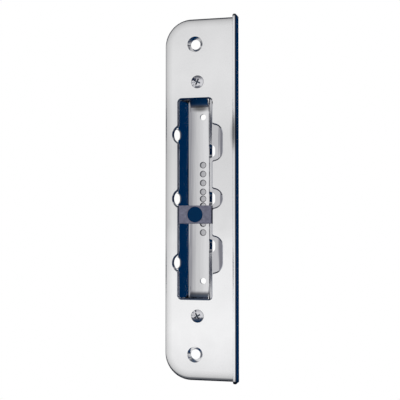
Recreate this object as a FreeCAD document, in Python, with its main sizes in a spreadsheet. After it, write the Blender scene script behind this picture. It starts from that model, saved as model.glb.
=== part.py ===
import FreeCAD, Part

import math
import os

import Sketcher

# Door strike plate, in millimetres.
# X runs across the plate towards its lip, Y runs back into the door frame, Z runs up the plate.
# The origin lies on the plate's back face, midway between the two fixing holes.

doc = FreeCAD.newDocument("strike_plate")
dims = doc.addObject("Spreadsheet::Sheet", "Dims")

# Driving dimensions

SIZES = {
    "window_width": 23.6,
    "window_height": 138.4,
    "window_corner": 2.2,
    "end_land": 55.8,
    "plate_left": 21.3,
    "plate_right": 31.2,
    "plate_sheet": 2.5,
    "plate_corner": 18.5,
    "plate_edge_round": 0.9,
    "cutout_edge": 0.9,
    "lip_reach": 10.6,
    "lip_fold": 1.5,
    "lip_corner": 2.0,
    "fixing_margin": 17.6,
    "fixing_hole": 6.9,
    "fixing_countersink": 10.9,
    "notch_radius": 6.1,
    "notch_reach": 3.8,
    "notch_mouth": 2.5,
    "slot_radius": 6.4,
    "slot_reach": 7.3,
    "slot_mouth": 2.0,
    "outer_screw_rise": 44.6,
    "inner_screw_rise": 32.8,
    "box_sheet": 2.0,
    "box_depth": 5.5,
    "box_left": 6.2,
    "box_right": 8.7,
    "side_wall_overrun": 1.3,
    "box_mouth_fold": 1.2,
    "box_floor_fold": 0.8,
    "ramp_reach": 7.0,
    "ramp_foot_fold": 2.5,
    "flange_left": 9.0,
    "flange_right": 12.0,
    "end_wall_setback": 1.8,
    "end_turn": 45.0,
    "end_fold": 9.0,
    "relief": 0.5,
    "slit": 0.15,
    "tab_width": 9.4,
    "tab_margin": 6.3,
    "tab_corner": 3.0,
    "screw_offset": 1.75,
    "screw_margin": 11.8,
    "screw_shank": 5.0,
    "screw_head": 8.8,
    "screw_dome": 0.9,
    "screw_length": 9.0,
    "screw_clearance": 0.5,
    "thread_clearance": 0.1,
    "recess_width": 1.1,
    "recess_span": 4.6,
    "recess_depth": 2.0,
    "left_hole_width": 6.2,
    "left_hole_height": 8.2,
    "left_hole_turn": 40.0,
    "left_hole_entry": 2.1,
    "right_hole_width": 6.65,
    "right_hole_height": 9.6,
    "right_hole_reach": 2.0,
    "floor_line": 3.8,
    "floor_hole": 4.3,
    "floor_hole_margin": 11.9,
    "socket": 3.8,
    "socket_depth": 1.4,
    "socket_rim": 0.42,
    "socket_first": 4.85,
    "socket_pitch": 6.25,
    "holder_height": 12.5,
    "holder_clearance": 0.2,
    "holder_gap": 0.6,
    "peg_clearance": 0.2,
    "magnet": 10.8,
    "magnet_thickness": 3.0,
    "magnet_clearance": 0.1,
    "magnet_edge": 0.3,
    "holder_edge": 0.4,
    "holder_chamfer": 1.2,
    "countersink_clearance": 0.2,
}

for row, (alias, number) in enumerate(SIZES.items(), start=1):
    dims.set(f"A{row}", alias)
    dims.set(f"B{row}", str(number))
    dims.setAlias(f"B{row}", alias)

# Lengths that follow from the window keep the screws, the box and the plate's ends with it.
DERIVED = {
    "plate_length": "=window_height + 2 * end_land",
    "fixing_rise": "=window_height / 2 + end_land - fixing_margin",
    "screw_rise": "=window_height / 2 + screw_margin",
    "end_wall_rise": "=window_height / 2 + end_wall_setback",
    "box_length": "=window_height + 2 * side_wall_overrun",
    "floor_hole_rise": "=window_height / 2 - floor_hole_margin",
}

for row, (alias, formula) in enumerate(DERIVED.items(), start=len(SIZES) + 1):
    dims.set(f"A{row}", alias)
    dims.set(f"B{row}", formula)
    dims.setAlias(f"B{row}", alias)
doc.recompute()


def size(alias):
    return float(getattr(dims, alias))


# Shared construction helpers


def new_body(name):
    body = doc.addObject("PartDesign::Body", name)
    body.Label = name
    return body


def new_sketch(body, name, plane, offset=None):
    """A sketch on one of the body's own origin planes, shifted or turned by offset."""
    sketch = body.newObject("Sketcher::SketchObject", name)
    origin_plane = [f for f in body.Origin.OriginFeatures if f.Role == plane][0]
    sketch.AttachmentSupport = [(origin_plane, "")]
    sketch.MapMode = "FlatFace"
    if offset is not None:
        sketch.AttachmentOffset = offset
    return sketch


def bind_point(sketch, geometry, position, across, up):
    """Ties one point of the sketch to two expressions, measured from the sketch's origin."""
    for kind, expression in (("DistanceX", across), ("DistanceY", up)):
        number = float(sketch.evalExpression(expression))
        index = sketch.addConstraint(Sketcher.Constraint(kind, -1, 1, geometry, position, number))
        sketch.setExpression(f"Constraints[{index}]", expression)


def add_polygon(sketch, corners):
    """A closed outline of straight lines through corners given as pairs of expressions."""
    points = []
    for across, up in corners:
        x = float(sketch.evalExpression(across))
        y = float(sketch.evalExpression(up))
        points.append(FreeCAD.Vector(x, y, 0))
    first = sketch.GeometryCount
    count = len(points)
    for i in range(count):
        sketch.addGeometry(Part.LineSegment(points[i], points[(i + 1) % count]), False)
    for i in range(count):
        following = first + (i + 1) % count
        sketch.addConstraint(Sketcher.Constraint("Coincident", first + i, 2, following, 1))
    for i, (across, up) in enumerate(corners):
        bind_point(sketch, first + i, 1, across, up)


def add_circle(sketch, across, up, diameter):
    x = float(sketch.evalExpression(across))
    y = float(sketch.evalExpression(up))
    d = float(sketch.evalExpression(diameter))
    upright = FreeCAD.Vector(0, 0, 1)
    circle = sketch.addGeometry(Part.Circle(FreeCAD.Vector(x, y, 0), upright, d / 2), False)
    bind_point(sketch, circle, 3, across, up)
    index = sketch.addConstraint(Sketcher.Constraint("Diameter", circle, d))
    sketch.setExpression(f"Constraints[{index}]", diameter)


def add_upright_slot(sketch, across, low, high, radius):
    """A slot with round ends whose two centres stand one above the other."""
    x = float(sketch.evalExpression(across))
    z1 = float(sketch.evalExpression(low))
    z2 = float(sketch.evalExpression(high))
    r = float(sketch.evalExpression(radius))
    upright = FreeCAD.Vector(0, 0, 1)
    top = Part.ArcOfCircle(Part.Circle(FreeCAD.Vector(x, z2, 0), upright, r), 0, math.pi)
    bottom = Part.ArcOfCircle(Part.Circle(FreeCAD.Vector(x, z1, 0), upright, r), math.pi, 2 * math.pi)
    left = Part.LineSegment(FreeCAD.Vector(x - r, z2, 0), FreeCAD.Vector(x - r, z1, 0))
    right = Part.LineSegment(FreeCAD.Vector(x + r, z1, 0), FreeCAD.Vector(x + r, z2, 0))
    top, left, bottom, right = [sketch.addGeometry(g, False) for g in (top, left, bottom, right)]
    for one, other in ((top, left), (left, bottom), (bottom, right), (right, top)):
        sketch.addConstraint(Sketcher.Constraint("Tangent", one, 2, other, 1))
    sketch.addConstraint(Sketcher.Constraint("Equal", top, bottom))
    bind_point(sketch, bottom, 3, across, low)
    bind_point(sketch, top, 3, across, high)
    index = sketch.addConstraint(Sketcher.Constraint("Radius", top, r))
    sketch.setExpression(f"Constraints[{index}]", radius)


def add_pad(body, name, sketch, length, midplane=False, reverse=False):
    pad = body.newObject("PartDesign::Pad", name)
    pad.Profile = sketch
    pad.setExpression("Length", length)
    pad.Midplane = midplane
    pad.Reversed = reverse
    doc.recompute()
    return pad


def add_pocket(body, name, sketch, length, midplane=False, reverse=False):
    """Cuts the sketch out of the body, and makes sure that the cut has met material."""
    before = body.Shape.Volume
    pocket = body.newObject("PartDesign::Pocket", name)
    pocket.Profile = sketch
    pocket.setExpression("Length", length)
    pocket.Midplane = midplane
    pocket.Reversed = reverse
    doc.recompute()
    if body.Shape.Volume > before - 0.01:
        raise ValueError(name + " cuts nothing")
    return pocket


def edges_where(feature, test):
    return [f"Edge{i}" for i, edge in enumerate(feature.Shape.Edges, start=1) if test(edge)]


def is_along(edge, axis):
    """True for a straight edge parallel to the named axis."""
    if edge.Curve.TypeId != "Part::GeomLine":
        return False
    return abs(getattr(edge.Curve.Direction, axis)) > 0.999


def is_at(edge, **place):
    """True where the edge's middle has the given coordinates."""
    middle = edge.CenterOfMass
    return all(abs(getattr(middle, axis) - number) < 0.02 for axis, number in place.items())


def add_fillet(body, name, base, edges, radius):
    if not edges:
        raise ValueError(name + " has no edges")
    fillet = body.newObject("PartDesign::Fillet", name)
    fillet.Base = (base, edges)
    fillet.setExpression("Radius", radius)
    doc.recompute()
    return fillet


def add_chamfer(body, name, base, edges, width):
    if not edges:
        raise ValueError(name + " has no edges")
    chamfer = body.newObject("PartDesign::Chamfer", name)
    chamfer.Base = (base, edges)
    chamfer.setExpression("Size", width)
    doc.recompute()
    return chamfer


# Face plate with its lip


def make_face_plate():
    """A flat plate folded forward into a lip, with its window, cut-outs and screw holes."""
    body = new_body("face_plate")
    sheet = size("plate_sheet")
    half_length = size("plate_length") / 2

    profile = new_sketch(body, "plate_profile", "XY_Plane")
    front = "-Dims.plate_sheet"
    lip_front = "-Dims.plate_sheet - Dims.lip_reach"
    lip_inside = "Dims.plate_right - Dims.plate_sheet"
    add_polygon(
        profile,
        [
            ("-Dims.plate_left", "0"),
            ("Dims.plate_right", "0"),
            ("Dims.plate_right", lip_front),
            (lip_inside, lip_front),
            (lip_inside, front),
            ("-Dims.plate_left", front),
        ],
    )
    pad = add_pad(body, "plate_blank", profile, "Dims.plate_length", midplane=True)

    right = size("plate_right")
    outer = edges_where(pad, lambda e: is_along(e, "z") and is_at(e, x=right, y=0))
    fold = add_fillet(body, "lip_fold_outer", pad, outer, "Dims.lip_fold + Dims.plate_sheet")
    inner = edges_where(fold, lambda e: is_along(e, "z") and is_at(e, x=right - sheet, y=-sheet))
    fold = add_fillet(body, "lip_fold_inner", fold, inner, "Dims.lip_fold")

    left = size("plate_left")
    corners = edges_where(
        fold, lambda e: is_along(e, "y") and abs(e.CenterOfMass.x + left) < 0.02
    )
    rounded = add_fillet(body, "plate_corners", fold, corners, "Dims.plate_corner")
    lip_end = -sheet - size("lip_reach")
    ends = edges_where(rounded, lambda e: is_along(e, "x") and is_at(e, y=lip_end))
    rounded = add_fillet(body, "lip_corners", rounded, ends, "Dims.lip_corner")

    through = "4 * Dims.plate_sheet"
    half_width = size("window_width") / 2
    half_height = size("window_height") / 2
    window = new_sketch(body, "window_outline", "XZ_Plane")
    wide = "Dims.window_width / 2"
    tall = "Dims.window_height / 2"
    add_polygon(
        window, [(f"-{wide}", f"-{tall}"), (wide, f"-{tall}"), (wide, tall), (f"-{wide}", tall)]
    )
    add_pocket(body, "window", window, through, midplane=True)

    notches = new_sketch(body, "notch_outline", "XZ_Plane")
    notch_centre = "Dims.notch_radius - Dims.notch_reach - Dims.window_width / 2"
    for rise in ("-Dims.outer_screw_rise", "0", "Dims.outer_screw_rise"):
        add_circle(notches, notch_centre, rise, "2 * Dims.notch_radius")
    add_pocket(body, "left_notches", notches, through, midplane=True)

    slots = new_sketch(body, "slot_outline", "XZ_Plane")
    slot_centre = "Dims.window_width / 2 + Dims.slot_reach - Dims.slot_radius"
    low, high = "Dims.inner_screw_rise", "Dims.outer_screw_rise"
    add_upright_slot(slots, slot_centre, low, high, "Dims.slot_radius")
    add_upright_slot(slots, slot_centre, f"-{high}", f"-{low}", "Dims.slot_radius")
    add_circle(slots, slot_centre, "0", "2 * Dims.slot_radius")
    cut = add_pocket(body, "right_slots", slots, through, midplane=True)

    def is_mouth(edge, side):
        middle = edge.CenterOfMass
        on_side = is_along(edge, "y") and abs(middle.x - side) < 0.02
        return on_side and abs(middle.z) < half_height - 0.1

    mouths = edges_where(cut, lambda e: is_mouth(e, -half_width))
    cut = add_fillet(body, "notch_mouths", cut, mouths, "Dims.notch_mouth")
    mouths = edges_where(cut, lambda e: is_mouth(e, half_width))
    cut = add_fillet(body, "slot_mouths", cut, mouths, "Dims.slot_mouth")
    corners = edges_where(
        cut,
        lambda e: is_along(e, "y")
        and abs(abs(e.CenterOfMass.x) - half_width) < 0.02
        and abs(abs(e.CenterOfMass.z) - half_height) < 0.02,
    )
    add_fillet(body, "window_corners", cut, corners, "Dims.window_corner")

    holes = new_sketch(body, "fixing_hole_outline", "XZ_Plane")
    for end in ("-", ""):
        add_circle(holes, "0", f"{end}Dims.fixing_rise", "Dims.fixing_hole")
    drilled = add_pocket(body, "fixing_holes", holes, through, midplane=True)
    rims = edges_where(
        drilled,
        lambda e: e.Curve.TypeId == "Part::GeomCircle"
        and abs(e.Curve.Radius - size("fixing_hole") / 2) < 0.01
        and abs(e.CenterOfMass.y + sheet) < 0.02
        and abs(e.CenterOfMass.x) < 0.02,
    )
    depth = "(Dims.fixing_countersink - Dims.fixing_hole) / 2"
    add_chamfer(body, "fixing_countersinks", drilled, rims, depth)

    holes = new_sketch(body, "box_screw_hole_outline", "XZ_Plane")
    bore = "Dims.screw_shank + Dims.screw_clearance"
    for end in ("-", ""):
        add_circle(holes, "Dims.screw_offset", f"{end}Dims.screw_rise", bore)
    drilled = add_pocket(body, "box_screw_holes", holes, through, midplane=True)
    radius = (size("screw_shank") + size("screw_clearance")) / 2
    rims = edges_where(
        drilled,
        lambda e: e.Curve.TypeId == "Part::GeomCircle"
        and abs(e.Curve.Radius - radius) < 0.01
        and abs(e.CenterOfMass.y + sheet) < 0.02
        and abs(e.CenterOfMass.x - size("screw_offset")) < 0.02,
    )
    depth = "(Dims.screw_head + Dims.countersink_clearance - Dims.screw_shank - Dims.screw_clearance) / 2"
    sunk = add_chamfer(body, "box_screw_countersinks", drilled, rims, depth)

    # The front edges are rounded by the press and the polishing wheel.
    def is_front_outline(edge):
        box = edge.BoundBox
        flat = abs(box.YMin + sheet) < 0.01 and abs(box.YMax + sheet) < 0.01
        outside = box.XMin < -half_width - 8 or abs(abs(box.ZMax) - half_length) < 0.01
        return flat and outside and box.XMax < right - sheet

    outline = edges_where(sunk, is_front_outline)
    sunk = add_fillet(body, "outline_round", sunk, outline, "Dims.plate_edge_round")

    def is_window_rim(edge):
        box = edge.BoundBox
        flat = abs(box.YMin + sheet) < 0.01 and abs(box.YMax + sheet) < 0.01
        beside = box.XMin > -half_width - 8 and box.XMax < half_width + 10
        return flat and beside and abs(edge.CenterOfMass.z) < half_height + 0.1

    rim = edges_where(sunk, is_window_rim)
    sunk = add_chamfer(body, "window_edge", sunk, rim, "Dims.cutout_edge")
    lip_edges = edges_where(sunk, lambda e: is_along(e, "z") and is_at(e, y=lip_end))
    add_fillet(body, "lip_round", sunk, lip_edges, "Dims.plate_edge_round")
    return body


# Folded box behind the window

SLOPE = "atan(Dims.box_depth / Dims.ramp_reach)"
RAMP_TOP = "(Dims.box_left + Dims.ramp_reach)"
FLOOR_LEFT = f"-(Dims.box_left - Dims.ramp_foot_fold * tan({SLOPE} / 2))"


def make_strike_box():
    """One sheet folded into a shallow trough: flanges, a sloping entry, two end straps with tabs."""
    body = new_body("strike_box")
    sheet = "Dims.box_sheet"
    wide = "Dims.window_width / 2"
    front = [
        (f"-{wide} - Dims.flange_left", "0"),
        (f"-{RAMP_TOP}", "0"),
        ("-Dims.box_left", "Dims.box_depth"),
        ("Dims.box_right", "Dims.box_depth"),
        ("Dims.box_right", "0"),
        (f"{wide} + Dims.flange_right", "0"),
    ]
    back = [
        (f"-{wide} - Dims.flange_left", sheet),
        (f"-{RAMP_TOP} - {sheet} * tan({SLOPE} / 2)", sheet),
        (f"-Dims.box_left - {sheet} * tan({SLOPE} / 2)", f"Dims.box_depth + {sheet}"),
        (f"Dims.box_right + {sheet}", f"Dims.box_depth + {sheet}"),
        (f"Dims.box_right + {sheet}", sheet),
        (f"{wide} + Dims.flange_right", sheet),
    ]
    section = new_sketch(body, "box_section", "XY_Plane")
    add_polygon(section, front + back[::-1])
    trough = add_pad(body, "box_trough", section, "Dims.box_length", midplane=True)

    def fold_edges(feature, corners):
        places = [
            (float(section.evalExpression(x)), float(section.evalExpression(y)))
            for x, y in corners
        ]
        return edges_where(
            feature,
            lambda e: is_along(e, "z") and any(is_at(e, x=x, y=y) for x, y in places),
        )

    mouth = (1, 4)
    outer_mouth = f"Dims.box_mouth_fold + {sheet}"
    folds = (
        ("mouth_folds_front", [front[i] for i in mouth], outer_mouth),
        ("mouth_folds_back", [back[i] for i in mouth], "Dims.box_mouth_fold"),
        ("ramp_foot_front", [front[2]], "Dims.ramp_foot_fold"),
        ("ramp_foot_back", [back[2]], f"Dims.ramp_foot_fold + {sheet}"),
        ("floor_fold_front", [front[3]], "Dims.box_floor_fold"),
        ("floor_fold_back", [back[3]], f"Dims.box_floor_fold + {sheet}"),
    )
    shape = trough
    for name, corners, radius in folds:
        shape = add_fillet(body, name, shape, fold_edges(shape, corners), radius)

    # The ends of the floor are bent up to the plate as sloping straps, cut free of the sides.
    gap_right = "(Dims.box_right - Dims.box_floor_fold)"
    inside = "Dims.end_wall_rise"
    turn = "Dims.end_turn * 1 deg"
    foot = f"({inside} - Dims.box_depth / tan({turn}))"
    shift = f"{sheet} * tan({turn} / 2)"
    start = f"({foot} - Dims.end_fold * tan({turn} / 2) - Dims.relief)"
    gap = new_sketch(body, "floor_gap_outline", "XZ_Plane")
    beyond = f"(Dims.box_length / 2 + {sheet})"
    for end in ("-", ""):
        corners = [
            (FLOOR_LEFT, f"{end}{start}"),
            (gap_right, f"{end}{start}"),
            (gap_right, f"{end}{beyond}"),
            (FLOOR_LEFT, f"{end}{beyond}"),
        ]
        add_polygon(gap, corners if end == "" else corners[::-1])
    add_pocket(body, "floor_gaps", gap, f"Dims.box_depth + 2 * {sheet}")

    strap = new_sketch(body, "end_strap_section", "YZ_Plane")
    strap.setExpression("AttachmentOffset.Base.z", f"({gap_right} + {FLOOR_LEFT}) / 2")
    strap_width = f"{gap_right} - {FLOOR_LEFT} - 2 * Dims.slit"
    tab_end = "(Dims.screw_rise + Dims.tab_margin)"
    deep = f"Dims.box_depth + {sheet}"
    for end in ("-", ""):
        corners = [
            ("Dims.box_depth", f"{end}{start}"),
            ("Dims.box_depth", f"{end}{foot}"),
            ("0", f"{end}{inside}"),
            ("0", f"{end}{tab_end}"),
            (sheet, f"{end}{tab_end}"),
            (sheet, f"{end}({inside} + {shift})"),
            (deep, f"{end}({foot} + {shift})"),
            (deep, f"{end}{start}"),
        ]
        add_polygon(strap, corners if end == "" else corners[::-1])
    shape = add_pad(body, "end_straps", strap, strap_width, midplane=True)

    half = size("end_wall_rise")
    thick = size("box_sheet")
    depth = size("box_depth")
    bend = math.radians(size("end_turn"))
    foot_rise = half - depth / math.tan(bend)
    offset = thick * math.tan(bend / 2)

    def cross_edges(feature, y, rise):
        return edges_where(
            feature,
            lambda e: is_along(e, "x")
            and is_at(e, y=y)
            and abs(abs(e.CenterOfMass.z) - rise) < 0.02,
        )

    bends = (
        ("end_folds_inside", depth, foot_rise, "Dims.end_fold"),
        ("end_folds_outside", depth + thick, foot_rise + offset, f"Dims.end_fold + {sheet}"),
        ("tab_folds_front", 0.0, half, outer_mouth),
        ("tab_folds_back", thick, half + offset, "Dims.box_mouth_fold"),
    )
    for name, y, rise, radius in bends:
        shape = add_fillet(body, name, shape, cross_edges(shape, y, rise), radius)

    # The tabs are narrower than the straps.
    flanks = new_sketch(body, "tab_flank_outline", "XZ_Plane")
    root = f"({inside} + ({outer_mouth}) * tan({turn} / 2))"
    for end in ("-", ""):
        for edge, outer in (
            ("Dims.screw_offset - Dims.tab_width / 2", f"{FLOOR_LEFT} - {sheet}"),
            ("Dims.screw_offset + Dims.tab_width / 2", f"{gap_right} + {sheet}"),
        ):
            corners = [
                (edge, f"{end}{root}"),
                (outer, f"{end}{root}"),
                (outer, f"{end}({tab_end} + {sheet})"),
                (edge, f"{end}({tab_end} + {sheet})"),
            ]
            add_polygon(flanks, corners)
    shape = add_pocket(body, "tab_flanks", flanks, f"2 * {sheet}", midplane=True)
    tip = size("screw_rise") + size("tab_margin")
    corners = edges_where(
        shape, lambda e: is_along(e, "y") and abs(abs(e.CenterOfMass.z) - tip) < 0.02
    )
    add_fillet(body, "tab_corners", shape, corners, "Dims.tab_corner")

    threads = new_sketch(body, "tab_thread_outline", "XZ_Plane")
    bore = "Dims.screw_shank + Dims.thread_clearance"
    for end in ("-", ""):
        add_circle(threads, "Dims.screw_offset", f"{end}Dims.screw_rise", bore)
    add_pocket(body, "tab_threads", threads, f"4 * {sheet}", midplane=True)

    # Long frame screws leave the box at a slant, through its right wall and its sloping entry.
    tilt = "Dims.left_hole_turn * 1 deg"
    entry = "Dims.left_hole_entry"
    entry_depth = f"{entry} * Dims.box_depth / Dims.ramp_reach"
    entry_place = f"({entry} - {RAMP_TOP}) * cos({tilt}) + {entry_depth} * sin({tilt})"
    mouth_place = f"({wide} + Dims.right_hole_reach) * cos(45 deg)"
    sides = (
        ("right", -45, mouth_place, "Dims.inner_screw_rise"),
        ("left", size("left_hole_turn"), entry_place, "Dims.outer_screw_rise"),
    )
    for side, degrees, edge, rise in sides:
        offset = FreeCAD.Placement(
            FreeCAD.Vector(0, 0, 0), FreeCAD.Rotation(FreeCAD.Vector(0, 1, 0), degrees)
        )
        holes = new_sketch(body, f"{side}_oblique_outline", "XZ_Plane", offset)
        radius = f"Dims.{side}_hole_width / 2"
        straight = f"(Dims.{side}_hole_height / 2 - {radius})"
        for height in (f"-{rise}", "0", rise):
            add_upright_slot(
                holes,
                f"{edge} - {radius}",
                f"{height} - {straight}",
                f"{height} + {straight}",
                radius,
            )
        add_pocket(body, f"{side}_oblique_holes", holes, "Dims.window_width")

    # Two holes through the floor, and a row of blind sockets between them.
    on_floor = "-Dims.box_depth"
    holes = new_sketch(body, "floor_hole_outline", "XZ_Plane")
    holes.setExpression("AttachmentOffset.Base.z", on_floor)
    for end in ("-", ""):
        add_circle(holes, "Dims.floor_line", f"{end}Dims.floor_hole_rise", "Dims.floor_hole")
    add_pocket(body, "floor_holes", holes, f"2 * {sheet}")
    sockets = new_sketch(body, "socket_outline", "XZ_Plane")
    sockets.setExpression("AttachmentOffset.Base.z", on_floor)
    add_circle(sockets, "Dims.floor_line", "0", "Dims.socket")
    for step in range(4):
        for end in ("-", ""):
            rise = f"{end}(Dims.socket_first + {step} * Dims.socket_pitch)"
            add_circle(sockets, "Dims.floor_line", rise, "Dims.socket")
    drilled = add_pocket(body, "sockets", sockets, "Dims.socket_depth")
    rims = edges_where(
        drilled,
        lambda e: e.Curve.TypeId == "Part::GeomCircle"
        and abs(e.Curve.Radius - size("socket") / 2) < 0.01
        and abs(e.CenterOfMass.y - depth) < 0.02
        and abs(e.CenterOfMass.z) < size("floor_hole_rise") - 1,
    )
    add_chamfer(body, "socket_rims", drilled, rims, "Dims.socket_rim")
    return body


# Machine screws that hold the box to the plate


def make_box_screw(name, end, turn):
    """A countersunk screw with a cross recess, its head level with the plate's front."""
    body = new_body(name)
    section = new_sketch(body, name + "_section", "XY_Plane")
    head = "Dims.screw_head / 2"
    shank = "Dims.screw_shank / 2"
    top = "-Dims.plate_sheet"
    dome = "Dims.screw_dome"
    add_polygon(
        section,
        [
            ("0", f"{top} - {dome}"),
            (f"{head} / 3", f"{top} - {dome} * 8 / 9"),
            (f"{head} * 2 / 3", f"{top} - {dome} * 5 / 9"),
            (head, top),
            (shank, f"{top} + {head} - {shank}"),
            (shank, f"{top} + Dims.screw_length"),
            ("0", f"{top} + Dims.screw_length"),
        ],
    )
    turned = body.newObject("PartDesign::Revolution", name + "_turned")
    turned.Profile = section
    turned.ReferenceAxis = (section, ["V_Axis"])
    turned.Angle = 360
    doc.recompute()

    recess = new_sketch(body, name + "_recess_outline", "XZ_Plane")
    recess.setExpression("AttachmentOffset.Base.z", "Dims.plate_sheet + Dims.screw_dome")
    arm = "Dims.recess_span / 2"
    side = "Dims.recess_width / 2"
    quarter = [(side, arm), (side, side), (arm, side)]
    corners = []
    for across, up in (("", ""), ("", "-"), ("-", "-"), ("-", "")):
        points = [(across + x, up + y) for x, y in quarter]
        corners += points if across == up else points[::-1]
    add_polygon(recess, corners)
    add_pocket(body, name + "_recess", recess, "Dims.recess_depth")

    tip = -size("plate_sheet") + size("screw_length")
    end_rim = edges_where(
        body.Tip,
        lambda e: e.Curve.TypeId == "Part::GeomCircle" and abs(e.CenterOfMass.y - tip) < 0.02,
    )
    add_chamfer(body, name + "_point", body.Tip, end_rim, "Dims.screw_shank / 8")
    body.Placement.Rotation = FreeCAD.Rotation(FreeCAD.Vector(0, 1, 0), turn)
    body.setExpression("Placement.Base.x", "Dims.screw_offset")
    body.setExpression("Placement.Base.z", f"{end}Dims.screw_rise")
    return body


# Magnet holder and its magnet

HOLDER_RISE = "-(Dims.socket_first + Dims.socket_pitch)"


def make_magnet_holder():
    """A moulded block that fills the box from side to side and is pegged into a socket."""
    body = new_body("magnet_holder")
    section = new_sketch(body, "holder_section", "XY_Plane")
    front = "-Dims.plate_sheet"
    head = "(Dims.window_width / 2 - Dims.holder_clearance)"
    right = "(Dims.box_right - Dims.holder_gap)"
    shoulder = "(Dims.box_mouth_fold + Dims.box_sheet) / 2"
    over_ramp = f"({RAMP_TOP} - {head}) * Dims.box_depth / Dims.ramp_reach"
    add_polygon(
        section,
        [
            (f"-{head}", front),
            (head, front),
            (head, "-Dims.holder_gap"),
            (right, shoulder),
            (right, "Dims.box_depth - Dims.holder_chamfer"),
            (f"{right} - Dims.holder_chamfer", "Dims.box_depth"),
            (f"{FLOOR_LEFT} + Dims.holder_gap", "Dims.box_depth"),
            (f"-{head}", f"{over_ramp} - Dims.holder_gap / cos({SLOPE})"),
        ],
    )
    block = add_pad(body, "holder_block", section, "Dims.holder_height", midplane=True)

    def is_front_edge(edge):
        return abs(edge.BoundBox.YMax + size("plate_sheet")) < 0.01

    block = add_fillet(
        body, "holder_edges", block, edges_where(block, is_front_edge), "Dims.holder_edge"
    )
    recess = new_sketch(body, "magnet_recess_outline", "XZ_Plane")
    recess.setExpression("AttachmentOffset.Base.z", "Dims.plate_sheet")
    add_circle(recess, "0", "0", "Dims.magnet + Dims.magnet_clearance")
    add_pocket(body, "magnet_recess", recess, "Dims.magnet_thickness")
    peg = new_sketch(body, "peg_outline", "XZ_Plane")
    peg.setExpression("AttachmentOffset.Base.z", "-Dims.box_depth")
    add_circle(peg, "Dims.floor_line", "0", "Dims.socket - Dims.peg_clearance")
    add_pad(body, "peg", peg, "Dims.socket_depth - Dims.peg_clearance", reverse=True)
    body.setExpression("Placement.Base.z", HOLDER_RISE)
    return body


def make_magnet():
    """A plain disc, level with the holder's face."""
    body = new_body("magnet")
    outline = new_sketch(body, "magnet_outline", "XZ_Plane")
    outline.setExpression("AttachmentOffset.Base.z", "Dims.plate_sheet")
    add_circle(outline, "0", "0", "Dims.magnet")
    disc = add_pad(body, "magnet_disc", outline, "Dims.magnet_thickness", reverse=True)
    front = -size("plate_sheet")
    rim = edges_where(
        disc,
        lambda e: e.Curve.TypeId == "Part::GeomCircle" and abs(e.CenterOfMass.y - front) < 0.02,
    )
    add_chamfer(body, "magnet_rim", disc, rim, "Dims.magnet_edge")
    body.setExpression("Placement.Base.z", HOLDER_RISE)
    return body


subparts = [
    make_face_plate(),
    make_strike_box(),
    make_box_screw("box_screw_upper", "", 25),
    make_box_screw("box_screw_lower", "-", 60),
    make_magnet_holder(),
    make_magnet(),
]

# Checks and export

doc.recompute()
for item in doc.Objects:
    if "Invalid" in item.State or "Error" in item.State:
        raise ValueError(item.Name + " failed to compute")
for body in subparts:
    shape = body.Shape
    if shape.isNull() or not shape.isValid() or len(shape.Solids) != 1:
        raise ValueError(body.Label + " isn't one valid solid")

os.makedirs("parts", exist_ok=True)
for body in subparts:
    body.Shape.exportStep(f"parts/{body.Label}.step")
    box = body.Shape.BoundBox
    print(
        f"{body.Label}: {body.Shape.Volume:.1f} cubic mm, "
        f"x {box.XMin:.2f} to {box.XMax:.2f}, y {box.YMin:.2f} to {box.YMax:.2f}, "
        f"z {box.ZMin:.2f} to {box.ZMax:.2f}"
    )
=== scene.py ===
import math

import bpy
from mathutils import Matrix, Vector


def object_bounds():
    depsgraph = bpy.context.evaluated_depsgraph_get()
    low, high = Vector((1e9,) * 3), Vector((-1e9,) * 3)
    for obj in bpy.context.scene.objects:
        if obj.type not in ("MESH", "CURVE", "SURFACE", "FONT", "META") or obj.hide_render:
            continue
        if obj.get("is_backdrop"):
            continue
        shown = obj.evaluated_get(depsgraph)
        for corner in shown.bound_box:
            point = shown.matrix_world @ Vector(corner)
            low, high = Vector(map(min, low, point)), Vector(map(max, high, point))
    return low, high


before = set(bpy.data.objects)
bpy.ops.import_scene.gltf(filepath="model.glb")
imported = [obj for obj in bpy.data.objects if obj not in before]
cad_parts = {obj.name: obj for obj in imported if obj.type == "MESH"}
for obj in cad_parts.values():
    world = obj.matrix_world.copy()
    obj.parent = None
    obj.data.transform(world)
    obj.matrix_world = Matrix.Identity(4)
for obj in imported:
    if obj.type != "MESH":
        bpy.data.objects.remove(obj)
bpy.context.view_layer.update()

# Face plate
# The plate is pressed from 2.5 mm stainless sheet, folded forward into a lip on its right edge, and
# polished on a wheel. It hangs on two countersunk wood screws, and everything else is fixed to it.


def srgb(code):
    """A hex colour as linear red, green, blue and alpha."""
    values = [int(code[i : i + 2], 16) / 255 for i in (1, 3, 5)]
    linear = [v / 12.92 if v <= 0.04045 else ((v + 0.055) / 1.055) ** 2.4 for v in values]
    return (*linear, 1.0)


def add_node(tree, kind, inputs=None, stops=(), **settings):
    """Adds a node. Inputs are links or numbers by socket, and stops are a colour ramp's own."""
    node = tree.nodes.new(kind)
    for name, value in settings.items():
        setattr(node, name, value)
    for socket, value in (inputs or {}).items():
        if isinstance(value, bpy.types.NodeSocket):
            tree.links.new(value, node.inputs[socket])
        else:
            node.inputs[socket].default_value = value
    for i, (position, code) in enumerate(stops):
        ramp = node.color_ramp
        stop = ramp.elements[i] if i < 2 else ramp.elements.new(1.0)
        stop.position = position
        stop.color = srgb(code)
    return node


def new_material(name):
    """An empty node material with its output, and the object's own coordinates in metres."""
    material = bpy.data.materials.new(name)
    material.use_nodes = True
    tree = material.node_tree
    tree.nodes.clear()
    output = tree.nodes.new("ShaderNodeOutputMaterial")
    place = tree.nodes.new("ShaderNodeTexCoord").outputs["Object"]
    return material, tree, output, place


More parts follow.
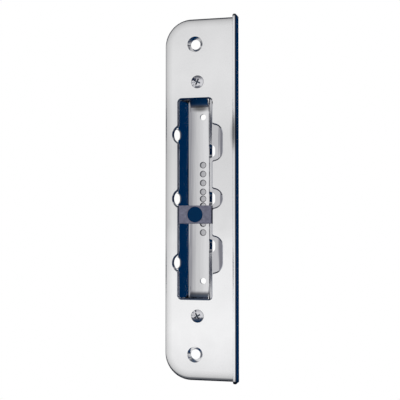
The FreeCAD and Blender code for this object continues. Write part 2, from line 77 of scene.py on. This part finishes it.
def paint_dark_patch(tree, place, colour, centre_mm, reach_mm, dimmest):
    """Paints a dark patch into a colour, dimmest at the middle of an upright oval, and gives the
    new colour.
    """
    patch = add_node(
        tree,
        "ShaderNodeMapping",
        {
            "Vector": place,
            "Location": (-centre_mm[0] / reach_mm[0], 0.0, -centre_mm[1] / reach_mm[1]),
            "Scale": (1000.0 / reach_mm[0], 0.0, 1000.0 / reach_mm[1]),
        },
    )
    away = add_node(
        tree, "ShaderNodeVectorMath", {0: patch.outputs["Vector"]}, operation="LENGTH"
    )
    kept = add_node(
        tree,
        "ShaderNodeMapRange",
        {"Value": away.outputs["Value"], "From Min": 0.2, "To Min": dimmest},
        interpolation_type="SMOOTHSTEP",
    )
    dimmed = add_node(
        tree,
        "ShaderNodeVectorMath",
        {0: colour, "Scale": kept.outputs["Result"]},
        operation="SCALE",
    )
    return dimmed.outputs["Vector"]


def dress(node, material):
    """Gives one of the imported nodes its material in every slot."""
    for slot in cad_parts[node].material_slots:
        slot.material = material


# Wheel-polished stainless steel: a clouded mirror with a fine upright grain, drawn coarser than
# the wheel's own so that it shows. It is brighter below than at its middle. The blanked edges
# beside the window and the lip's corner carry painted reflections of the blue cloth, painted shade
# darkens the outer rim, and a dark patch beside the lip is a painted reflection of the lip's fold.
POLISHED_GRAIN_MM = 0.35
POLISHED_GRAIN_SLOWED = 0.02  # along the wheel's strokes
POLISHED_CLOUD_MM = 24.0
POLISHED_ROUGHNESS = (0.09, 0.15)
CLOUD_DRIFT_MM = 60.0  # how far the clouds lift the tones of the plate
TONED_HEIGHTS_MM = (-95.0, 155.0)
SHEET_MM = 2.5
WINDOW_REACH_MM = 70.0  # above and below the plate's middle
RIM_LEFT_MM = -3.5  # the rim is a distance from a field with these three sides
RIM_LOW_MM = -105.5
RIM_HIGH_MM = 106.5
RIM_RADIUS_MM = 18.5
RIM_FADE_MM = 6.0
LIP_CORNER_MM = (30.5, -12.0)
LIP_CORNER_FADE_MM = 0.3
# A dark patch beside the lip is a painted reflection of the lip's fold.
LIP_FOLD_REFLECTION_CENTRE_MM = (29.0, 44.5)
LIP_FOLD_REFLECTION_REACH_MM = (5.0, 17.5)
LIP_FOLD_REFLECTION_DIMMEST = 0.35

polished, tree, output, place = new_material("polished_stainless_steel")
upright = add_node(
    tree, "ShaderNodeMapping", {"Vector": place, "Scale": (1.0, 1.0, POLISHED_GRAIN_SLOWED)}
)
grain = add_node(
    tree,
    "ShaderNodeTexNoise",
    {"Vector": upright.outputs["Vector"], "Scale": 1000.0 / POLISHED_GRAIN_MM, "Detail": 3.0},
)
cloud = add_node(
    tree,
    "ShaderNodeTexNoise",
    {"Vector": place, "Scale": 1000.0 / POLISHED_CLOUD_MM, "Detail": 3.0},
)
shine = add_node(
    tree,
    "ShaderNodeMapRange",
    {
        "Value": cloud.outputs["Fac"],
        "From Min": 0.3,
        "From Max": 0.7,
        "To Min": POLISHED_ROUGHNESS[0],
        "To Max": POLISHED_ROUGHNESS[1],
    },
)

# The tone by height.
parts = add_node(tree, "ShaderNodeSeparateXYZ", {"Vector": place})
drift = add_node(
    tree,
    "ShaderNodeMath",
    {0: cloud.outputs["Fac"], 1: CLOUD_DRIFT_MM / 1000.0, 2: parts.outputs["Z"]},
    operation="MULTIPLY_ADD",
)
height = add_node(
    tree,
    "ShaderNodeMapRange",
    {
        "Value": drift.outputs["Value"],
        "From Min": TONED_HEIGHTS_MM[0] / 1000.0,
        "From Max": TONED_HEIGHTS_MM[1] / 1000.0,
    },
)
tone = add_node(
    tree,
    "ShaderNodeValToRGB",
    {"Fac": height.outputs["Result"]},
    stops=[
        (0.0, "#E4E4E5"),
        (0.12, "#F2F2F3"),
        (0.32, "#EAEAEB"),
        (0.46, "#DADADB"),
        (0.66, "#D2D2D3"),
        (0.84, "#E0E0E1"),
        (1.0, "#D8D8D9"),
    ],
)

# The blanked edges beside the window, from the front of the sheet to its back, are painted
# blue-grey: a painted reflection of the blue cloth.
through = add_node(
    tree,
    "ShaderNodeMapRange",
    {"Value": parts.outputs["Y"], "From Min": -SHEET_MM / 1000.0, "From Max": 0.0},
)
level = add_node(tree, "ShaderNodeMath", {0: parts.outputs["Z"]}, operation="ABSOLUTE")
beside_window = add_node(
    tree,
    "ShaderNodeMath",
    {0: level.outputs["Value"], 1: WINDOW_REACH_MM / 1000.0},
    operation="LESS_THAN",
)
blanked = add_node(
    tree,
    "ShaderNodeMath",
    {0: through.outputs["Result"], 1: beside_window.outputs["Value"]},
    operation="MULTIPLY",
)
blanked_edge_painted_reflection = add_node(
    tree,
    "ShaderNodeValToRGB",
    {"Fac": blanked.outputs["Value"]},
    stops=[(0.1, "#FFFFFF"), (0.36, "#8A94A6"), (0.9, "#8A94A6"), (0.98, "#FFFFFF")],
)

# The outer rim, painted darker towards its edge with painted shade.
above = add_node(
    tree,
    "ShaderNodeVectorMath",
    {0: place, 1: (RIM_LEFT_MM / 1000.0, -1.0, RIM_LOW_MM / 1000.0)},
    operation="MAXIMUM",
)
within = add_node(
    tree,
    "ShaderNodeVectorMath",
    {0: above.outputs["Vector"], 1: (1.0, 1.0, RIM_HIGH_MM / 1000.0)},
    operation="MINIMUM",
)
outward = add_node(
    tree, "ShaderNodeVectorMath", {0: place, 1: within.outputs["Vector"]}, operation="DISTANCE"
)
rim = add_node(
    tree,
    "ShaderNodeMapRange",
    {
        "Value": outward.outputs["Value"],
        "From Min": (RIM_RADIUS_MM - RIM_FADE_MM) / 1000.0,
        "From Max": RIM_RADIUS_MM / 1000.0,
    },
)
rim_painted_shade = add_node(
    tree,
    "ShaderNodeValToRGB",
    {"Fac": rim.outputs["Result"]},
    stops=[
        (0.0, "#FFFFFF"),
        (0.3, "#F6F6F6"),
        (0.55, "#EAEAEA"),
        (0.76, "#D4D4D4"),
        (0.86, "#7C7E82"),
        (1.0, "#5E6066"),
    ],
)

# The corner of the lip that lies furthest right and forward, painted dark blue: a painted
# reflection of the blue cloth.
outermost = add_node(
    tree,
    "ShaderNodeMapRange",
    {
        "Value": parts.outputs["X"],
        "From Min": (LIP_CORNER_MM[0] - LIP_CORNER_FADE_MM) / 1000.0,
        "From Max": (LIP_CORNER_MM[0] + LIP_CORNER_FADE_MM) / 1000.0,
    },
)
foremost = add_node(
    tree,
    "ShaderNodeMath",
    {0: parts.outputs["Y"], 1: LIP_CORNER_MM[1] / 1000.0},
    operation="LESS_THAN",
)
corner = add_node(
    tree,
    "ShaderNodeMath",
    {0: outermost.outputs["Result"], 1: foremost.outputs["Value"]},
    operation="MULTIPLY",
)
lip_corner_painted_reflection = add_node(
    tree,
    "ShaderNodeValToRGB",
    {"Fac": corner.outputs["Value"]},
    stops=[(0.0, "#FFFFFF"), (1.0, "#1E3A5C")],
)

colour = tone.outputs["Color"]
for shade in (blanked_edge_painted_reflection, rim_painted_shade, lip_corner_painted_reflection):
    shaded = add_node(
        tree,
        "ShaderNodeVectorMath",
        {0: colour, 1: shade.outputs["Color"]},
        operation="MULTIPLY",
    )
    colour = shaded.outputs["Vector"]
# The dark patch beside the lip is a painted reflection of the lip's fold.
colour = paint_dark_patch(tree, place, colour, LIP_FOLD_REFLECTION_CENTRE_MM, LIP_FOLD_REFLECTION_REACH_MM, LIP_FOLD_REFLECTION_DIMMEST)
relief = add_node(
    tree,
    "ShaderNodeBump",
    {"Height": grain.outputs["Fac"], "Strength": 0.03, "Distance": 0.00002},
)
surface = add_node(
    tree,
    "ShaderNodeBsdfPrincipled",
    {
        "Base Color": colour,
        "Roughness": shine.outputs["Result"],
        "Normal": relief.outputs["Normal"],
        "Metallic": 1.0,
    },
)
tree.links.new(surface.outputs["BSDF"], output.inputs["Surface"])
dress("face_plate", polished)

# Strike box
# One 2 mm stainless sheet folded into a shallow trough, with two flanges, a sloping entry and two
# end straps with tabs. It keeps the smooth skin of the rolling mill, a bit duller than the plate.

# Rolled stainless steel: smooth enough to mirror the cloth, with upright streaks and a grain that
# is drawn coarser than the mill's so that it shows. Painted shade greys its floor beside the slope
# and darkens the walls of the sockets, and painted reflections darken a strip of the right flange
# and the upper bend.
ROLLED_GRAIN_MM = 0.6
ROLLED_GRAIN_SLOWED = 0.03  # along the direction of rolling
STREAK_MM = 1.6
STREAK_DRIFT_MM = 6.0  # how far the streaks shift the tones sideways
TONED_WIDTHS_MM = (-7.0, 23.0)
ROLLED_ROUGHNESS = (0.07, 0.12)
SOCKET_LINE_MM = 3.8
SOCKET_REACH_MM = (2.2, 2.5)
SOCKET_DEPTHS_MM = (5.5, 7.0)
# A painted reflection darkens the upper bend.
BEND_CENTRE_MM = (2.0, 63.4)
BEND_REACH_MM = (9.0, 3.2)
BEND_REFLECTION_DIMMEST = 0.25

rolled, tree, output, place = new_material("rolled_stainless_steel")
upright = add_node(
    tree, "ShaderNodeMapping", {"Vector": place, "Scale": (1.0, 1.0, ROLLED_GRAIN_SLOWED)}
)
grain = add_node(
    tree,
    "ShaderNodeTexNoise",
    {"Vector": upright.outputs["Vector"], "Scale": 1000.0 / ROLLED_GRAIN_MM, "Detail": 3.0},
)
streak = add_node(
    tree,
    "ShaderNodeTexNoise",
    {"Vector": upright.outputs["Vector"], "Scale": 1000.0 / STREAK_MM, "Detail": 2.0},
)

# The tone across the trough, from the slope on the left to the right flange. It holds painted
# shade on the floor beside the slope and a painted reflection on a strip of the right flange.
parts = add_node(tree, "ShaderNodeSeparateXYZ", {"Vector": place})
drift = add_node(
    tree,
    "ShaderNodeMath",
    {0: streak.outputs["Fac"], 1: STREAK_DRIFT_MM / 1000.0, 2: parts.outputs["X"]},
    operation="MULTIPLY_ADD",
)
across = add_node(
    tree,
    "ShaderNodeMapRange",
    {
        "Value": drift.outputs["Value"],
        "From Min": TONED_WIDTHS_MM[0] / 1000.0,
        "From Max": TONED_WIDTHS_MM[1] / 1000.0,
    },
)
skin_and_painted_light = add_node(
    tree,
    "ShaderNodeValToRGB",
    {"Fac": across.outputs["Result"]},
    # From the second stop the floor is greyed by painted shade beside the slope; the last stop is a
    # painted reflection on the right flange.
    stops=[
        (0.11, "#E8E8EA"),
        (0.13, "#8E8E94"),
        (0.2, "#A6A6AA"),
        (0.32, "#C4C4C6"),
        (0.55, "#DADADC"),
        (0.72, "#BEBEC1"),
        (0.875, "#BEBEC1"),
        (0.905, "#7C7C84"),
    ],
)

# The sockets, by their distance from the line they stand on and their depth below the floor.
# Painted shade darkens their walls.
beside = add_node(
    tree,
    "ShaderNodeMath",
    {0: parts.outputs["X"], 1: SOCKET_LINE_MM / 1000.0},
    operation="SUBTRACT",
)
aside = add_node(tree, "ShaderNodeMath", {0: beside.outputs["Value"]}, operation="ABSOLUTE")
near = add_node(
    tree,
    "ShaderNodeMapRange",
    {
        "Value": aside.outputs["Value"],
        "From Min": SOCKET_REACH_MM[1] / 1000.0,
        "From Max": SOCKET_REACH_MM[0] / 1000.0,
    },
)
depth = add_node(
    tree,
    "ShaderNodeMapRange",
    {
        "Value": parts.outputs["Y"],
        "From Min": SOCKET_DEPTHS_MM[0] / 1000.0,
        "From Max": SOCKET_DEPTHS_MM[1] / 1000.0,
    },
)
inside = add_node(
    tree,
    "ShaderNodeMath",
    {0: near.outputs["Result"], 1: depth.outputs["Result"]},
    operation="MULTIPLY",
)
socket_painted_shade = add_node(
    tree,
    "ShaderNodeValToRGB",
    {"Fac": inside.outputs["Value"]},
    stops=[(0.04, "#FFFFFF"), (0.2, "#A8A8AC"), (0.85, "#A8A8AC"), (0.92, "#D4D4D6")],
)
socketed = add_node(
    tree,
    "ShaderNodeVectorMath",
    {0: skin_and_painted_light.outputs["Color"], 1: socket_painted_shade.outputs["Color"]},
    operation="MULTIPLY",
)
# A painted reflection darkens the upper bend.
colour = paint_dark_patch(
    tree, place, socketed.outputs["Vector"], BEND_CENTRE_MM, BEND_REACH_MM, BEND_REFLECTION_DIMMEST
)
shine = add_node(
    tree,
    "ShaderNodeMapRange",
    {
        "Value": grain.outputs["Fac"],
        "From Min": 0.3,
        "From Max": 0.7,
        "To Min": ROLLED_ROUGHNESS[0],
        "To Max": ROLLED_ROUGHNESS[1],
    },
)
relief = add_node(
    tree,
    "ShaderNodeBump",
    {"Height": grain.outputs["Fac"], "Strength": 0.05, "Distance": 0.00002},
)
surface = add_node(
    tree,
    "ShaderNodeBsdfPrincipled",
    {
        "Base Color": colour,
        "Roughness": shine.outputs["Result"],
        "Normal": relief.outputs["Normal"],
        "Metallic": 1.0,
    },
)
tree.links.new(surface.outputs["BSDF"], output.inputs["Surface"])
dress("strike_box", rolled)

# Box screws
# Two countersunk steel machine screws with cross recesses, turned and zinc plated. They pass
# through the plate into the tabs of the box, and their heads lie level with the plate's front.

# Zinc-plated turned steel: bright and slightly mottled, and darker in the recess.
MOTTLE_MM = 0.8
PLATED_ROUGHNESS = (0.08, 0.18)
HEAD_DEPTHS_MM = (-3.5, 0.5)  # from in front of the head to past its recess

plated, tree, output, place = new_material("zinc_plated_turned_steel")
mottle = add_node(
    tree, "ShaderNodeTexNoise", {"Vector": place, "Scale": 1000.0 / MOTTLE_MM, "Detail": 2.0}
)
shine = add_node(
    tree,
    "ShaderNodeMapRange",
    {
        "Value": mottle.outputs["Fac"],
        "From Min": 0.3,
        "From Max": 0.7,
        "To Min": PLATED_ROUGHNESS[0],
        "To Max": PLATED_ROUGHNESS[1],
    },
)
parts = add_node(tree, "ShaderNodeSeparateXYZ", {"Vector": place})
depth = add_node(
    tree,
    "ShaderNodeMapRange",
    {
        "Value": parts.outputs["Y"],
        "From Min": HEAD_DEPTHS_MM[0] / 1000.0,
        "From Max": HEAD_DEPTHS_MM[1] / 1000.0,
    },
)
tone = add_node(
    tree,
    "ShaderNodeValToRGB",
    {"Fac": depth.outputs["Result"]},
    stops=[(0.2, "#D0D0D4"), (0.32, "#4A505A"), (0.7, "#4A505A"), (0.9, "#D0D0D4")],
)
surface = add_node(
    tree,
    "ShaderNodeBsdfPrincipled",
    {
        "Base Color": tone.outputs["Color"],
        "Roughness": shine.outputs["Result"],
        "Metallic": 1.0,
    },
)
tree.links.new(surface.outputs["BSDF"], output.inputs["Surface"])
for screw in ("box_screw_upper", "box_screw_lower"):
    dress(screw, plated)

# Magnet holder
# A block moulded in grey glass-filled nylon, with a fine spark-eroded texture on its faces. A peg
# on its back drops into one of the sockets in the floor of the box.

# Moulded nylon: matt and finely pitted, with faint pale marks where glass fibre lies at the
# surface. The pits are drawn coarser than the mould's, so that they show.
MOULD_TEXTURE_MM = 0.25
FIBRE_MARK_MM = 2.2

nylon, tree, output, place = new_material("moulded_grey_nylon")
texture = add_node(
    tree,
    "ShaderNodeTexNoise",
    {"Vector": place, "Scale": 1000.0 / MOULD_TEXTURE_MM, "Detail": 2.0},
)
mark = add_node(
    tree,
    "ShaderNodeTexNoise",
    {"Vector": place, "Scale": 1000.0 / FIBRE_MARK_MM, "Detail": 4.0, "Roughness": 0.7},
)
relief = add_node(
    tree,
    "ShaderNodeBump",
    {"Height": texture.outputs["Fac"], "Strength": 0.3, "Distance": 0.00004},
)
tone = add_node(
    tree,
    "ShaderNodeValToRGB",
    {"Fac": mark.outputs["Fac"]},
    stops=[(0.35, "#86869A"), (0.55, "#9C9CB0"), (0.72, "#B8B8C8")],
)
surface = add_node(
    tree,
    "ShaderNodeBsdfPrincipled",
    {
        "Base Color": tone.outputs["Color"],
        "Normal": relief.outputs["Normal"],
        "Roughness": 0.45,
    },
)
tree.links.new(surface.outputs["BSDF"], output.inputs["Surface"])
dress("magnet_holder", nylon)

# Magnet
# A sintered neodymium disc in a dark blue-black epoxy coat, glued into the holder level with its
# face.

# Epoxy coat: matt dark blue with a faint orange-peel mottle.
PEEL_MM = 0.5

epoxy, tree, output, place = new_material("dark_epoxy_coat")
peel = add_node(
    tree, "ShaderNodeTexNoise", {"Vector": place, "Scale": 1000.0 / PEEL_MM, "Detail": 2.0}
)
tone = add_node(
    tree,
    "ShaderNodeValToRGB",
    {"Fac": peel.outputs["Fac"]},
    stops=[(0.3, "#003A66"), (0.7, "#004476")],
)
relief = add_node(
    tree,
    "ShaderNodeBump",
    {"Height": peel.outputs["Fac"], "Strength": 0.1, "Distance": 0.00003},
)
surface = add_node(
    tree,
    "ShaderNodeBsdfPrincipled",
    {
        "Base Color": tone.outputs["Color"],
        "Normal": relief.outputs["Normal"],
        "Roughness": 0.5,
        "Specular IOR Level": 0.05,
    },
)
tree.links.new(surface.outputs["BSDF"], output.inputs["Surface"])
dress("magnet", epoxy)

# Studio
# The plate hangs in front of white paper, above a pale floor. The steel mirrors dark blue cloth on
# both sides, a grey board behind on the left, and boards above and below in greys and blues.

WALL_DISTANCE = 0.9
RIGHT_CLOTH = [(-0.9, "#00284F"), (1.0, "#00264E")]
LEFT_CLOTH = [(-0.8, "#001E40"), (-0.09, "#0A2244"), (0.14, "#3C4656")]
LEFT_BOARD = [(0.13, "#74767C"), (1.0, "#5A5C62")]
TOP_BOARD = [
    (0.34, "#FFFFFF"),
    (0.5, "#E6E6E8"),
    (0.6, "#BCBCBF"),
    (0.68, "#96969A"),
    (0.76, "#76787E"),
    (0.86, "#606670"),
    (0.98, "#4C5A6E"),
]
BOTTOM_BOARD = [
    (-1.0, "#022A50"),
    (-0.83, "#0A3054"),
    (-0.7, "#203E60"),
    (-0.58, "#4A566A"),
    (-0.46, "#6A6E78"),
    (-0.34, "#8E9096"),
    (-0.29, "#B4B4B8"),
]
FLOOR_REACH = 4.0
FLOOR_HEIGHT = -0.6


def new_board(name, corners, axis, tones):
    """A board that the steel reflects, toned by how far its direction leans along an axis."""
    mesh = bpy.data.meshes.new(name)
    count = len(corners) // 2
    faces = [(i, i + 1, count + i + 1, count + i) for i in range(count - 1)]
    mesh.from_pydata(corners, [], faces)
    board = bpy.data.objects.new(name, mesh)
    bpy.context.scene.collection.objects.link(board)
    material, tree, output, place = new_material(name + "_surface")
    direction = add_node(tree, "ShaderNodeVectorMath", {0: place}, operation="NORMALIZE")
    parts = add_node(tree, "ShaderNodeSeparateXYZ", {"Vector": direction.outputs["Vector"]})
    lean = add_node(
        tree,
        "ShaderNodeMapRange",
        {"Value": parts.outputs[axis], "From Min": -1.0, "From Max": 1.0},
    )
    tone = add_node(
        tree,
        "ShaderNodeValToRGB",
        {"Fac": lean.outputs["Result"]},
        stops=[((leaning + 1) / 2, code) for leaning, code in tones],
    )
    glow = add_node(tree, "ShaderNodeEmission", {"Color": tone.outputs["Color"], "Strength": 1.0})
    tree.links.new(glow.outputs["Emission"], output.inputs["Surface"])
    mesh.materials.append(material)
    board.visible_camera = False
    board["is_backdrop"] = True


def arc(start, end, radius, height):
    """Points on a level arc, by azimuth from the front, anticlockwise seen from above."""
    angles = [math.radians(start + (end - start) * i / 16) for i in range(17)]
    return [(radius * math.sin(a), -radius * math.cos(a), height) for a in angles]


# The gaps on the right keep the steel bright from other sides. On the left the cloth is cut away at
# the plate's own height, but for two strips that edge the round cut-outs beside the window.
for name, start, end, low, high, tones in (
    ("right_cloth_front", 40, 84, -0.4, 0.5, RIGHT_CLOTH),
    ("right_cloth_middle", 97, 126, -0.4, 0.5, RIGHT_CLOTH),
    ("right_cloth_back", 145, 178, -0.4, 0.5, RIGHT_CLOTH),
    ("left_cloth_upper", -98, -25, 0.36, 0.7, LEFT_CLOTH),
    ("left_strip_upper", -98, -25, 0.127, 0.178, LEFT_CLOTH),
    ("left_strip_lower", -98, -25, -0.113, -0.062, LEFT_CLOTH),
    ("left_cloth_lower", -98, -25, -0.6, -0.3, LEFT_CLOTH),
    ("left_board", -178, -98, -0.5, 0.5, LEFT_BOARD),
):
    foot = arc(start, end, WALL_DISTANCE, low)
    head = arc(start, end, WALL_DISTANCE, high)
    new_board(name, foot + head, "Y", tones)
for name, reach, height, tones in (
    ("top_board", 2.0, 0.75, TOP_BOARD),
    ("bottom_board", 1.12, -0.35, BOTTOM_BOARD),
):
    middle = arc(-180, 180, 0.001, height)
    border = arc(-180, 180, reach, height)
    new_board(name, middle + border, "Z", tones)

floor_mesh = bpy.data.meshes.new("floor")
floor_mesh.from_pydata(
    [
        (x * FLOOR_REACH, y * FLOOR_REACH, FLOOR_HEIGHT)
        for x, y in ((-1, -1), (1, -1), (1, 1), (-1, 1))
    ],
    [],
    [(0, 1, 2, 3)],
)
floor = bpy.data.objects.new("floor", floor_mesh)
bpy.context.scene.collection.objects.link(floor)
painted, floor_tree, floor_output, _ = new_material("pale_floor_paint")
world = bpy.data.worlds.new("white_paper")
bpy.context.scene.world = world
world.use_nodes = True
world_tree = world.node_tree
world_tree.nodes.clear()
world_output = world_tree.nodes.new("ShaderNodeOutputWorld")

# Only mirrors, glass and the camera see paper and floor as full white.
for tree, output, lit_kind, lit_inputs, seen_kind in (
    (
        floor_tree,
        floor_output,
        "ShaderNodeBsdfDiffuse",
        {"Color": srgb("#F2F2F2")},
        "ShaderNodeEmission",
    ),
    (
        world_tree,
        world_output,
        "ShaderNodeBackground",
        {"Color": srgb("#F4F4F6"), "Strength": 0.8},
        "ShaderNodeBackground",
    ),
):
    path = tree.nodes.new("ShaderNodeLightPath")
    direct = add_node(
        tree,
        "ShaderNodeMath",
        {0: path.outputs["Is Camera Ray"], 1: path.outputs["Is Glossy Ray"]},
        operation="MAXIMUM",
    )
    seen = add_node(
        tree,
        "ShaderNodeMath",
        {0: direct.outputs["Value"], 1: path.outputs["Is Transmission Ray"]},
        operation="MAXIMUM",
    )
    lit = add_node(tree, lit_kind, lit_inputs)
    white = add_node(tree, seen_kind, {"Color": srgb("#FFFFFF"), "Strength": 1.0})
    both = add_node(
        tree,
        "ShaderNodeMixShader",
        {0: seen.outputs["Value"], 1: lit.outputs[0], 2: white.outputs[0]},
    )
    tree.links.new(both.outputs["Shader"], output.inputs["Surface"])
floor_mesh.materials.append(painted)
floor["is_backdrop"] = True

# A large soft lamp at the upper left that the steel doesn't mirror.
lamp_data = bpy.data.lights.new("soft_key", "AREA")
lamp_data.shape = "RECTANGLE"
lamp_data.size = 0.9
lamp_data.size_y = 1.2
lamp_data.energy = 4.0
lamp = bpy.data.objects.new("soft_key", lamp_data)
lamp.location = (-0.9, -1.3, 0.7)
lamp.rotation_euler = (-lamp.location).to_track_quat("-Z", "Y").to_euler()
lamp.visible_glossy = False
bpy.context.scene.collection.objects.link(lamp)

# Camera
# It stands a little to the right of the plate and just below its middle, 0.62 m away, and its small
# shift is the photograph's own framing.

CAMERA_TURN = math.radians(14.4)
CAMERA_RISE = math.radians(-2.0)
CAMERA_DISTANCE = 0.62
SENSOR_MM = 36.0
PHOTO_WIDTH = 400.0
PHOTO_FOCAL_LENGTH = 893.0  # in the photograph's pixels

camera_data = bpy.data.cameras.new("camera")
camera_data.sensor_width = SENSOR_MM
camera_data.lens = SENSOR_MM * PHOTO_FOCAL_LENGTH / PHOTO_WIDTH
camera_data.shift_x = 0.01045
camera_data.shift_y = -0.0035
camera_data.clip_start = 0.01
camera_data.clip_end = 20.0
camera = bpy.data.objects.new("camera", camera_data)
camera.location = CAMERA_DISTANCE * Vector(
    (
        math.sin(CAMERA_TURN) * math.cos(CAMERA_RISE),
        -math.cos(CAMERA_TURN) * math.cos(CAMERA_RISE),
        math.sin(CAMERA_RISE),
    )
)
camera.rotation_euler = (-camera.location).to_track_quat("-Z", "Y").to_euler()
bpy.context.scene.collection.objects.link(camera)
bpy.context.scene.camera = camera
bpy.context.scene.view_settings.view_transform = "Standard"

low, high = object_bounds()
